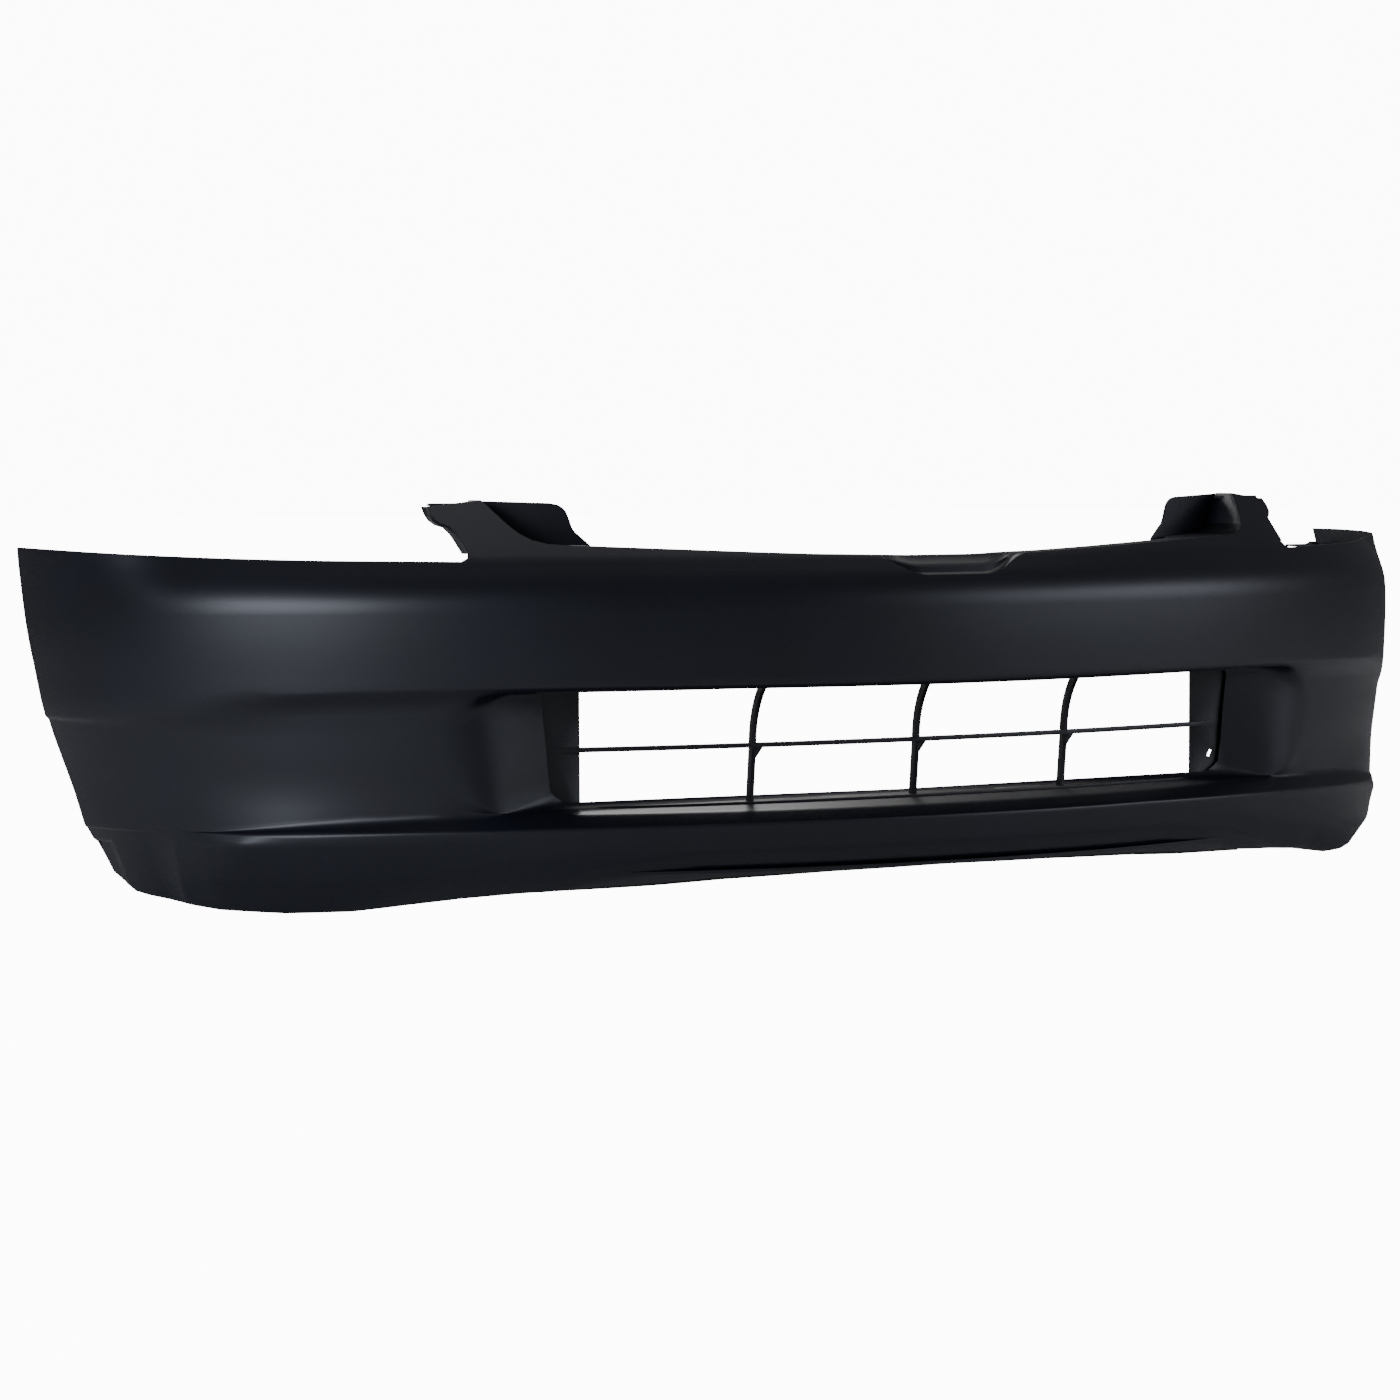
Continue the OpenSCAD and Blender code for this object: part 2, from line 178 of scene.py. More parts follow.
def section_at(s):
    """Corners of the skin's section at a place, as (inset, height, rounding), from the top down."""
    here = on_plan(s, 0, 0)
    x = abs(here.x)
    nose_z = follow(nose_line, x)
    chin_z = follow(chin_line, x)
    facet_z = follow(facet_line, x)
    crease = 0.251 + 0.013 * x**2 - 0.056 * x**4
    # how far the crease and the lip have faded, the top edge is folded in and the side drawn in
    fade = ease(0.70, 0.82, x)
    lip_fade = ease(0.60, 0.80, x)
    fold = 1 - ease(0.80, 0.885, x)
    tail = ease(0.70, 0.87, x)
    # how far the scoop is open here, and its depth from the skin at its upper and lower edges
    mouth = 1 - ease(0.500, 0.580, x)
    depth = -0.1
    if x < 0.62:
        depth = (follow(scoop_line, x) - here.y) / math.cos(np.interp(abs(s), stations, headings))
    lower_depth = depth - 0.12 * max(x - 0.44, 0.0)
    under = [(chin_inset(nose_z + (facet_z - nose_z) * part), nose_z + (facet_z - nose_z) * part)
             for part in (0.12, 0.55, 1.0)]
    under = [(max(i, (0.0245 + 0.3 * (0.084 - z)) * tail), z) for i, z in under]
    foot = under[-1]
    return [
        (0.010 + 0.094 * fold, 0.456, 0.0),
        (0.003 + 0.027 * fold, 0.389 + 0.004 * ease(0.6, 0.9, x) + 0.006 * ease(0.80, 0.9, x),
         0.006),
        (0.0015, 0.356 - 0.005 * x**2, 0.022),
        (0.0, 0.300, 0.040),
        (0.0012 + 0.002 * tail, crease, 0.0025 + 0.02 * fade),
        (0.0105 - 0.007 * fade - 0.003 * mouth + 0.0015 * tail, crease - 0.0165 + 0.0115 * mouth,
         0.007 - 0.006 * mouth + 0.02 * fade),
        (soft_max(0.0135 - 0.0055 * tail, depth, 0.016), 0.205 + 0.0395 * mouth, 0.016 - 0.008 * mouth),
        (soft_max(0.0185 - 0.0015 * tail, lower_depth, 0.016), 0.140 - 0.0285 * mouth, 0.018),
        (0.0195 - 0.007 * lip_fade + 0.009 * mouth + 0.0095 * tail, chin_z - 0.0005 * mouth,
         0.006 + 0.010 * lip_fade),
        (0.0045 + 0.002 * lip_fade + 0.0175 * tail, nose_z, 0.0035 + 0.004 * lip_fade),
        (under[0][0], under[0][1], 0.004),
        (under[1][0], under[1][1], 0.006),
        (foot[0], foot[1], 0.004),
        (foot[0] + 0.011, foot[1] - 0.017, 0.006),
        (foot[0] + 0.031, foot[1] - 0.032, 0.006),
        (foot[0] + 0.050, foot[1] - 0.042, 0.0),
    ]


def rounded(points, turns=4):
    """The section's two end points, with a list of points round each corner between them."""
    places = [Vector((i, z)) for i, z, _ in points]
    line = [places[0]]
    for k in range(1, len(places) - 1):
        before, here, after = places[k - 1], places[k], places[k + 1]
        size = min(points[k][2], (here - before).length * 0.46, (after - here).length * 0.46)
        a = here + (before - here).normalized() * size
        b = here + (after - here).normalized() * size
        line.append([a.lerp(here, t / turns).lerp(here.lerp(b, t / turns), t / turns)
                     for t in range(turns + 1)])
    line.append(places[-1])
    return line


def section_points(s):
    """The rounded section as one list that has the same number of points everywhere."""
    parts = rounded(section_at(s))
    # into how many steps each straight stretch is split
    splits = [4, 3, 3, 4, 2, 6, 6, 5, 1, 1, 2, 2, 1, 2, 1]
    out = [parts[0]]
    for k, part in enumerate(parts[1:]):
        start = part[0] if isinstance(part, list) else part
        last = out[-1]
        for t in range(1, splits[k] + 1):
            out.append(last.lerp(start, t / splits[k]))
        if isinstance(part, list):
            out.extend(part[1:])
    return out


def mesh_object(name, verts, faces):
    """A new object in the scene with a mesh of these points and faces."""
    mesh = bpy.data.meshes.new(name)
    mesh.from_pydata([tuple(v) for v in verts], [], faces)
    made = bpy.data.objects.new(name, mesh)
    bpy.context.scene.collection.objects.link(made)
    return made


def plain_mesh(made):
    """Makes the result of an object's modifiers its own mesh."""
    bpy.context.view_layer.update()
    evaluated = made.evaluated_get(bpy.context.evaluated_depsgraph_get())
    mesh = bpy.data.meshes.new_from_object(evaluated)
    made.modifiers.clear()
    old = made.data
    made.data = mesh
    bpy.data.meshes.remove(old)


def cleaned(made, nearest=0.0, flat=0.0):
    """The object with near points made one, flat faces joined and all faces turned outwards."""
    work = bmesh.new()
    work.from_mesh(made.data)
    if nearest:
        bmesh.ops.remove_doubles(work, verts=work.verts, dist=nearest)
    if flat:
        bmesh.ops.dissolve_limit(work, angle_limit=math.radians(flat), verts=work.verts, edges=work.edges)
    bmesh.ops.recalc_face_normals(work, faces=work.faces)
    work.to_mesh(made.data)
    work.free()
    return made


def prism(name, outline, low, high, along):
    """A closed prism over an outline of (x, z) points along 'y', or of (x, y) points along 'z'."""
    n = len(outline)
    verts = [(p[0], d, p[1]) if along == "y" else (p[0], p[1], d) for d in (low, high) for p in outline]
    faces = [list(range(n)), list(range(n, 2 * n))]
    faces += [(k, (k + 1) % n, n + (k + 1) % n, n + k) for k in range(n)]
    return cleaned(mesh_object(name, verts, faces))


def cut_away(made, cutters):
    """Cuts closed solids out of an object, one after another."""
    for cutter in cutters:
        change = made.modifiers.new("cut", "BOOLEAN")
        change.operation = "DIFFERENCE"
        change.solver = "EXACT"
        change.object = cutter
        plain_mesh(made)
        bpy.data.objects.remove(cutter)


def steps(start, end, spacing):
    """Even steps from start to end, close to a spacing."""
    count = max(2, int(abs(end - start) / spacing) + 1)
    return [start + (end - start) * k / (count - 1) for k in range(count)]


columns = steps(-half_line, half_line, 0.0065)
rows = [section_points(s) for s in columns]
per_row = len(rows[0])
verts = [skin_point(s, p.x, p.y) for s, row in zip(columns, rows) for p in row]
faces = [(c * per_row + r, (c + 1) * per_row + r, (c + 1) * per_row + r + 1, c * per_row + r + 1)
         for c in range(len(columns) - 1) for r in range(per_row - 1)]
skin = mesh_object("bumper_skin", verts, faces)
middle_face = skin.data.polygons[len(skin.data.polygons) // 2]
if middle_face.normal.y > 0:
    skin.data.flip_normals()
shell = skin.modifiers.new("wall", "SOLIDIFY")
shell.thickness = wall
shell.offset = -1
shell.use_even_offset = True
plain_mesh(skin)

# ---- Bumper skin: trimmed outline ----
# The top edge dips for the emblem, rises to the two ears and runs on under the headlamps.
# The lower opening is cut through the back of the scoops, and the chin's edge from below.


def soft_step(start, end, count=8):
    """An S curve between two (x, z) points, level at both ends."""
    return [(start[0] + (end[0] - start[0]) * k / count,
             start[1] + (end[1] - start[1]) * ease(0, count, k)) for k in range(count + 1)]


middle_edge = soft_step((0.040, 0.367), (0.100, 0.389)) + [(0.200, 0.393), (0.320, 0.3985)]
ear_inner = [(0.430, 0.4035), (0.445, 0.405), (0.458, 0.409), (0.468, 0.416), (0.476, 0.426), (0.484, 0.440),
             (0.491, 0.4525)]
ear_outer = [(0.546, 0.4455), (0.5465, 0.437), (0.545, 0.4315), (0.541, 0.4275), (0.534, 0.4245),
             (0.530, 0.416), (0.528, 0.405), (0.5265, 0.395), (0.529, 0.390), (0.536, 0.3865)]
lamp_edge = [(x, 0.391 - 0.026 * x**2 + 0.044 * x**4) for x in steps(0.56, 0.90, 0.03)]
top_line = middle_edge + ear_inner + ear_outer + lamp_edge[1:]
bottom_line = [(0, 0.044), (0.140, 0.042), (0.260, 0.038), (0.340, 0.033), (0.435, 0.029), (0.495, 0.025),
               (0.544, 0.020), (0.592, 0.012), (0.640, 0.004), (0.700, 0.0), (0.757, 0.001), (0.778, 0.004),
               (0.795, 0.008), (0.812, 0.011), (0.826, 0.0155), (0.834, 0.0215), (0.842, 0.0255),
               (0.930, 0.031)]
# the see-through edge of the lower opening, with its round lower corners
opening_bottom = 0.111
window_front_y = -0.1615
window_half = [(0.385, opening_bottom - 0.004), (0.402, 0.1125), (0.416, 0.118), (0.430, 0.127),
               (0.441, 0.138), (0.450, 0.152), (0.457, 0.175), (0.461, 0.205), (0.464, 0.233), (0.464, 0.250)]
window_line = window_half + [(-x, z) for x, z in reversed(window_half)]


def mirrored(line):
    """A line across both halves, given its right half from the middle outwards."""
    return [(-x, z) for x, z in reversed(line)] + list(line)


def trimming_prism(name, line, end_z, far_z):
    """A prism past an edge of the skin, from the edge's line out to a far height."""
    beyond = 1.1
    outline = mirrored(line) + [(beyond, end_z), (beyond, far_z), (-beyond, far_z), (-beyond, end_z)]
    return prism(name, outline, -0.6, 0.6, "y")


top_cut = trimming_prism("top_cut", top_line, 0.3995, 0.7)
bottom_cut = trimming_prism("bottom_cut", bottom_line[1:], 0.031, -0.3)
window = prism("window", window_line, window_front_y, 0.2, "y")
cut_away(skin, [top_cut, bottom_cut, window])

# ---- Bumper skin: ledges and flanges ----
# Moulded with the skin: the ledges that the headlamps and clips sit on, the flange and the
# panels behind the top edge, the lip under the chin and the flange along each wheel arch.


def swept(outline, places):
    """A closed (inset, height) outline carried along the plan line, with its ends closed."""
    shape = outline if callable(outline) else (lambda s: outline)
    n = len(shape(places[0]))
    verts = [on_plan(s, i, z) for s in places for i, z in shape(s)]
    faces = [(c * n + k, c * n + (k + 1) % n, (c + 1) * n + (k + 1) % n, (c + 1) * n + k)
             for c in range(len(places) - 1) for k in range(n)]
    faces += [tuple(range(n)), tuple(reversed(range((len(places) - 1) * n, len(places) * n)))]
    return verts, faces


def ribbon(front, back, thickness, ways):
    """A closed strip between two lines of points, thickened along the way given at each point."""
    n = len(front)
    lower_front = [p + way * thickness for p, way in zip(front, ways)]
    lower_back = [p + way * thickness for p, way in zip(back, ways)]
    verts = front + back + lower_front + lower_back
    faces = []
    for k in range(n - 1):
        faces += [(k, k + 1, n + k + 1, n + k), (2 * n + k, 3 * n + k, 3 * n + k + 1, 2 * n + k + 1),
                  (k, 2 * n + k, 2 * n + k + 1, k + 1), (n + k, n + k + 1, 3 * n + k + 1, 3 * n + k)]
    faces += [(0, n, 3 * n, 2 * n), (n - 1, 3 * n - 1, 4 * n - 1, 2 * n - 1)]
    return verts, faces


def add_to(made, verts, faces, holes=()):
    """Joins another closed solid to an object, with round or slotted holes cut first."""
    extra = cleaned(mesh_object("extra", verts, faces), 1e-6)
    if holes:
        cut_away(extra, list(holes))
    work = bmesh.new()
    work.from_mesh(made.data)
    work.from_mesh(extra.data)
    work.to_mesh(made.data)
    work.free()
    bpy.data.objects.remove(extra)


def skin_inset(s, z):
    """How far the finished face stands back at a place and a height."""
    line = section_points(s)
    heights = [p.y for p in reversed(line)]
    return float(np.interp(z, heights, [p.x for p in reversed(line)]))


def round_cutter(x, y, z, r, depth):
    """An upright cylinder centred at a point, to cut a round hole with."""
    outline = [(x + r * math.cos(a), y + r * math.sin(a)) for a in steps(0, 2 * math.pi, 0.3)[:-1]]
    return prism("hole", outline, z - depth, z + depth, "z")


# ledges under the headlamps with their clip holes, and behind the ears
lamp_ledge_z = 0.378
clip_angles = (66, 84)
clip_inset = 0.036
ear_hole_x, ear_hole_inset = 0.519, 0.112
hole_r = 0.004


def on_corner(angle, inset):
    """A place on the right-hand corner at an angle from the front, at an inset."""
    a = math.radians(angle)
    return corner_c.x + (corner_r - inset) * math.sin(a), corner_c.y - (corner_r - inset) * math.cos(a)


arch_end = s_at_y(0.300)
for side in (-1, 1):
    span = [side * s for s in steps(s_at_x(0.550, 0.02), arch_end - 0.004, 0.012)]
    spots = [on_corner(a, clip_inset) for a in clip_angles]
    holes = [round_cutter(side * x, y, lamp_ledge_z, hole_r, 0.01) for x, y in spots]
    add_to(skin, *swept([(0.0215, lamp_ledge_z - wall), (0.058, lamp_ledge_z - wall), (0.058, lamp_ledge_z),
                         (0.0235, lamp_ledge_z)], span), holes)
    span = [side * s for s in steps(s_at_x(0.494, 0.1), s_at_x(0.544, 0.1), 0.008)]
    y = on_plan(s_at_x(ear_hole_x, ear_hole_inset), ear_hole_inset, 0).y
    add_to(skin, *swept([(0.098, 0.446), (0.126, 0.446), (0.126, 0.449), (0.099, 0.449)], span),
           [round_cutter(side * ear_hole_x, y, 0.449, hole_r, 0.01)])


def dense(line, spacing):
    """More points along a line of (x, z) points."""
    out = [line[0]]
    for a, b in zip(line, line[1:]):
        count = max(1, int(math.dist(a, b) / spacing))
        out += [(a[0] + (b[0] - a[0]) * k / count, a[1] + (b[1] - a[1]) * k / count)
                for k in range(1, count + 1)]
    return out


edge_gap = 0.0006
panel_inset = 0.131
flange_depth = 0.046


def behind_edge(x, z):
    """A point just behind the skin's face, where a return or a flange starts."""
    inset = skin_inset(s_at_x(x, 0.03), z) + edge_gap
    return on_plan(s_at_x(x, inset), inset, z)


def return_strip(line, depth, side):
    """A thin return along an edge of the skin: back by a depth, or if it is deep, to an inset."""
    front, back, inward = [], [], []
    for k, (x, z) in enumerate(line):
        start = behind_edge(x, z)
        front.append(Vector((side * start.x, start.y, z)))
        reach = on_plan(s_at_x(x, depth), depth, z).y if depth > 0.1 else start.y + depth
        back.append(Vector((side * start.x, reach, z)))
        a, b = line[max(k - 1, 0)], line[min(k + 1, len(line) - 1)]
        along = Vector((b[0] - a[0], b[1] - a[1])).normalized()
        inward.append(Vector((side * along.y, 0, -along.x)))
    return ribbon(front, back, wall, inward)


# the middle of the top edge turns back as a flange, with a stepped pocket behind the dip
rim = mirrored(dense(middle_edge + ear_inner[:4], 0.008))
# the flange's section: how far back, and what part of the way up to the pocket's back edge
pocket_steps = [(0, 0), (0.007, 0), (0.011, 0.12), (0.013, 0.42), (0.020, 0.5), (0.024, 0.6),
                (0.031, 0.96), (0.036, 1.0), (flange_depth, 1.0)]
rim_rows = []
for x, z in rim:
    start = behind_edge(x, z)
    rise = max(z, 0.3875 + 0.022 * abs(x)) - z
    far_y = on_plan(s_at_x(x, panel_inset), panel_inset, z).y
    stretch = 1 + (far_y - start.y - flange_depth) / flange_depth * ease(0.34, 0.40, abs(x))
    rim_rows.append([Vector((x, start.y + d * stretch, z + rise * part)) for d, part in pocket_steps])
across = len(rim_rows[0])
flange = mesh_object("flange", [p for row in rim_rows for p in row],
                     [(a * across + b, (a + 1) * across + b, (a + 1) * across + b + 1, a * across + b + 1)
                      for a in range(len(rim_rows) - 1) for b in range(across - 1)])
thick = flange.modifiers.new("wall", "SOLIDIFY")
thick.thickness = wall
thick.offset = -1
plain_mesh(flange)
flange_mesh = [v.co.copy() for v in flange.data.vertices], [tuple(p.vertices) for p in flange.data.polygons]
bpy.data.objects.remove(flange)
flange_hole_inset = 0.042
hole_places = [(side * x, front_c.y - math.sqrt((front_r - flange_hole_inset) ** 2 - x * x))
               for x in (0.150, 0.350) for side in (-1, 1)]
add_to(skin, *flange_mesh, [round_cutter(x, y, 0.393, hole_r, 0.02) for x, y in hole_places])
for side in (-1, 1):
    add_to(skin, *return_strip(dense(ear_inner, 0.006), panel_inset, side))
    add_to(skin, *return_strip(dense(list(reversed(ear_outer[:-2])), 0.006), 0.014, side))

# panels that fill the recess between each ear and the middle flange
panel_front, panel_back, panel_foot = 0.130, 0.133, 0.394
panel_top = [(0.366, 0.399), (0.374, 0.407), (0.386, 0.418), (0.391, 0.434), (0.394, 0.441),
             (0.401, 0.4465), (0.411, 0.4485), (0.489, 0.4515)]


def panel_section(s):
    """The panel's section at a place: upright, up to the line of its top."""
    top = follow(panel_top, on_plan(s, panel_front, 0).x)
    return [(panel_front, panel_foot), (panel_back, panel_foot), (panel_back, top), (panel_front, top)]


for side in (-1, 1):
    add_to(skin, *swept(panel_section, [side * s_at_x(x, panel_front) for x in steps(0.366, 0.489, 0.003)]))

# lip with the undertray slots, behind the chin
lip_inset = 0.050
lip_half = s_at_x(0.455, lip_inset)
slot_r, slot_reach = 0.0025, 0.0095


def lip_section(s):
    """The lip's section at a place: down to the bottom line, with a foot that joins it to the chin."""
    low = follow(bottom_line, on_plan(s, lip_inset, 0).x) - 0.004
    return [(lip_inset, low), (lip_inset + wall, low), (lip_inset + wall, 0.048), (0.018, 0.048),
            (0.018, 0.045), (lip_inset, 0.045)]


slots = []
for x, z in ((0.262, 0.039), (0.418, 0.033)):
    for side in (-1, 1):
        ends = [(side * x + end * slot_reach + slot_r * math.cos(a - end * math.pi / 2),
                 z + slot_r * math.sin(a - end * math.pi / 2))
                for end in (1, -1) for a in steps(0, math.pi, 0.5)]
        slots.append(prism("slot", ends, -0.35, 0.0, "y"))
add_to(skin, *swept(lip_section, steps(-lip_half, lip_half, 0.012)), slots)

# flange along the fender seam and the wheel arch, with the liner holes
arch_flange_width = 0.023


def on_arch(z, inset):
    """The x of a point on the arch's edge, at a height and an inset from the plan."""
    return corner_c.x + math.sqrt((corner_r - inset) ** 2 - (corner_c.y - arch_y(z)) ** 2)


for side in (-1, 1):
    outer, inner = [], []
    for z in steps(0.036, 0.376, 0.012):
        inset = skin_inset(s_at_y(arch_y(z)), z) + (0.0055 if z < 0.07 else 0.001)
        outer.append(Vector((side * on_arch(z, inset), arch_y(z), z)))
        inner.append(Vector((side * on_arch(z, inset + arch_flange_width), arch_y(z), z)))
    cuts = []
    for z, inset in ((0.118, 0.030), (0.255, 0.013)):
        x = side * on_arch(z, inset)
        cuts.append(prism("liner_hole", [(x + hole_r * math.cos(a), z + hole_r * math.sin(a))
                                         for a in steps(0, 2 * math.pi, 0.4)[:-1]], 0, 0.4, "y"))
    add_to(skin, *ribbon(outer, inner, wall, [Vector((0, -1, 0))] * len(outer)), cuts)


def smooth_by_angle(made, degrees):
    """Smooth shading with sharp edges where the faces turn by more than an angle."""
    mesh = made.data
    mesh.polygons.foreach_set("use_smooth", [True] * len(mesh.polygons))
    work = bmesh.new()
    work.from_mesh(mesh)
    for edge in work.edges:
        edge.smooth = not (len(edge.link_faces) != 2 or edge.calc_face_angle(0) > math.radians(degrees))
    work.to_mesh(mesh)
    work.free()
    mesh.update()


smooth_by_angle(skin, 32)


def primer(name, colour, rough, grain, grain_size):
    """A satin finish: a soft drift in its colour, and a fine grain in its gloss and its surface."""
    made = bpy.data.materials.new(name)
    made.use_nodes = True
    tree = made.node_tree
    shader = tree.nodes["Principled BSDF"]
    place = tree.nodes.new("ShaderNodeTexCoord")
    cloud = tree.nodes.new("ShaderNodeTexNoise")
    cloud.inputs["Scale"].default_value = 9.0
    cloud.inputs["Detail"].default_value = 5.0
    tree.links.new(place.outputs["Object"], cloud.inputs["Vector"])
    speck = tree.nodes.new("ShaderNodeTexNoise")
    speck.inputs["Scale"].default_value = grain_size
    speck.inputs["Detail"].default_value = 3.0
    tree.links.new(place.outputs["Object"], speck.inputs["Vector"])
    tint = tree.nodes.new("ShaderNodeValToRGB")
    tint.color_ramp.elements[0].position = 0.3
    tint.color_ramp.elements[0].color = (colour[0] * 0.86, colour[1] * 0.86, colour[2] * 0.84, 1)
    tint.color_ramp.elements[1].position = 0.7
    tint.color_ramp.elements[1].color = (colour[0] * 1.14, colour[1] * 1.14, colour[2] * 1.18, 1)
    tree.links.new(cloud.outputs["Fac"], tint.inputs["Fac"])
    tree.links.new(tint.outputs["Color"], shader.inputs["Base Color"])
    gloss = tree.nodes.new("ShaderNodeMapRange")
    gloss.inputs["To Min"].default_value = rough - 0.03
    gloss.inputs["To Max"].default_value = rough + 0.03
    tree.links.new(speck.outputs["Fac"], gloss.inputs["Value"])
    tree.links.new(gloss.outputs["Result"], shader.inputs["Roughness"])
    bump = tree.nodes.new("ShaderNodeBump")
    bump.inputs["Strength"].default_value = grain
    bump.inputs["Distance"].default_value = 0.0002
    tree.links.new(speck.outputs["Fac"], bump.inputs["Height"])
    tree.links.new(bump.outputs["Normal"], shader.inputs["Normal"])
    return made


skin_finish = primer("satin_black_primer", (0.0058, 0.0068, 0.0120), 0.38, 0.10, 1400)
skin.data.materials.clear()
skin.data.materials.append(skin_finish)
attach(skin, "body")
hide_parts("cover")

# ---- Lower grille ----
# One moulding of unpainted black plastic behind the lower opening: end plates, rails, a
# crossbar and three vanes, screwed to the skin through both rails.


def merged_copy(node, name, softened):
    """A CAD node's shape with its triangles joined, its flats made whole and its edges softened."""
    source = frame["nodes"][node].data
    made = mesh_object(name, [v.co for v in source.vertices], [tuple(p.vertices) for p in source.polygons])
    cleaned(made, 1e-5, 0.5)
    round_off = made.modifiers.new("edge", "BEVEL")
    round_off.width = softened
    round_off.segments = 2
    round_off.limit_method = "ANGLE"
    round_off.angle_limit = math.radians(40)
    plain_mesh(made)
    smooth_by_angle(made, 35)
    return made


def finish_piece(made, node, body, finish):
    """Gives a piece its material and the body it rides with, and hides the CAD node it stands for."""
    made.data.materials.clear()
    made.data.materials.append(finish)
    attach(made, body)
    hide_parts(node)


grille = merged_copy("lower_grille", "grille_moulding", 0.0005)
grille_black = primer("grille_black", (0.0045, 0.005, 0.007), 0.46, 0.2, 900)
finish_piece(grille, "lower_grille", "body", grille_black)

# ---- Side retainers and lamp pads ----
# A ribbed retainer of mineral-filled plastic lies under each headlamp ledge, held by two clips;
# a strip of closed-cell foam on the ledge stops the headlamp rattling.
retainer_black = primer("retainer_black", (0.012, 0.012, 0.013), 0.55, 0.35, 700)
pad_foam = primer("pad_foam", (0.020, 0.020, 0.022), 0.9, 1.0, 500)
for hand in ("left", "right"):
    retainer = merged_copy("side_retainer_" + hand, "retainer_" + hand, 0.0004)
    finish_piece(retainer, "side_retainer_" + hand, "body", retainer_black)
    pad = merged_copy("lamp_pad_" + hand, "foam_pad_" + hand, 0.0012)
    finish_piece(pad, "lamp_pad_" + hand, "body", pad_foam)

# ---- Push-in clips ----
# Two-piece nylon clips: a flanged barrel that stays in the ledge and a centre pin that slides
# up 6 mm to free it. Each pin is its own moving piece.
clip_nylon = primer("clip_nylon", (0.008, 0.008, 0.009), 0.35, 0.05, 900)
pin_nylon = primer("pin_nylon", (0.022, 0.022, 0.024), 0.38, 0.05, 900)
for hand in ("left", "right"):
    barrels = merged_copy("clip_bodies_" + hand, "clip_barrels_" + hand, 0.0003)
    finish_piece(barrels, "clip_bodies_" + hand, "body", clip_nylon)
    for place in ("front", "rear"):
        node = "clip_pin_" + hand + "_" + place
        owner = next(b for b, members in frame["record"]["behaviour"]["bodies"].items() if node in members)
        pin = merged_copy(node, "centre_pin_" + hand + "_" + place, 0.0004)
        finish_piece(pin, node, owner, pin_nylon)

# ---- Screws and nuts ----
# Zinc-plated pan-head screws with a cross recess hold the grille's rails to the skin, spread by
# a node tree that turns each one by its own amount; folded spring nuts sit on the arch flanges.
zinc = primer("zinc", (0.45, 0.46, 0.47), 0.32, 0.05, 800)
zinc.node_tree.nodes["Principled BSDF"].inputs["Metallic"].default_value = 1.0
spring = primer("spring_steel", (0.20, 0.21, 0.22), 0.36, 0.08, 800)
spring.node_tree.nodes["Principled BSDF"].inputs["Metallic"].default_value = 1.0
head_height = 0.0024
thread_pitch = 0.0012
screw_places = (-0.330, -0.110, 0.110, 0.330)


def pan_head_screw(length):
    """A pan-head screw with its head up from the origin and its ridged shank down."""
    profile = [(0, head_height), (0.0018, 0.00235), (0.0030, 0.0020), (0.0039, 0.0012), (0.0042, 0.0004),
               (0.0042, 0.0), (0.0019, 0.0)]
    turns = int(length / thread_pitch)
    for k in range(turns):
        drop = -length * (k + 0.5) / turns
        profile += [(0.0016, drop + 0.0003), (0.0020, drop), (0.0016, drop - 0.0003)]
    profile += [(0, -length)]
    around = 32
    verts = [(r * math.cos(2 * math.pi * a / around), r * math.sin(2 * math.pi * a / around), z)
             for r, z in profile for a in range(around)]
    faces = [(k * around + a, k * around + (a + 1) % around, (k + 1) * around + (a + 1) % around,
              (k + 1) * around + a)
             for k in range(len(profile) - 1) for a in range(around)]
    made = cleaned(mesh_object("screw_pattern", verts, faces), 1e-6)
    recess = [prism("recess", [(-a, -b), (a, -b), (a, b), (-a, b)], 0.0008, 0.004, "z")
              for a, b in ((0.0021, 0.00045), (0.00045, 0.0021))]
    cut_away(made, recess)
    smooth_by_angle(made, 35)
    return made


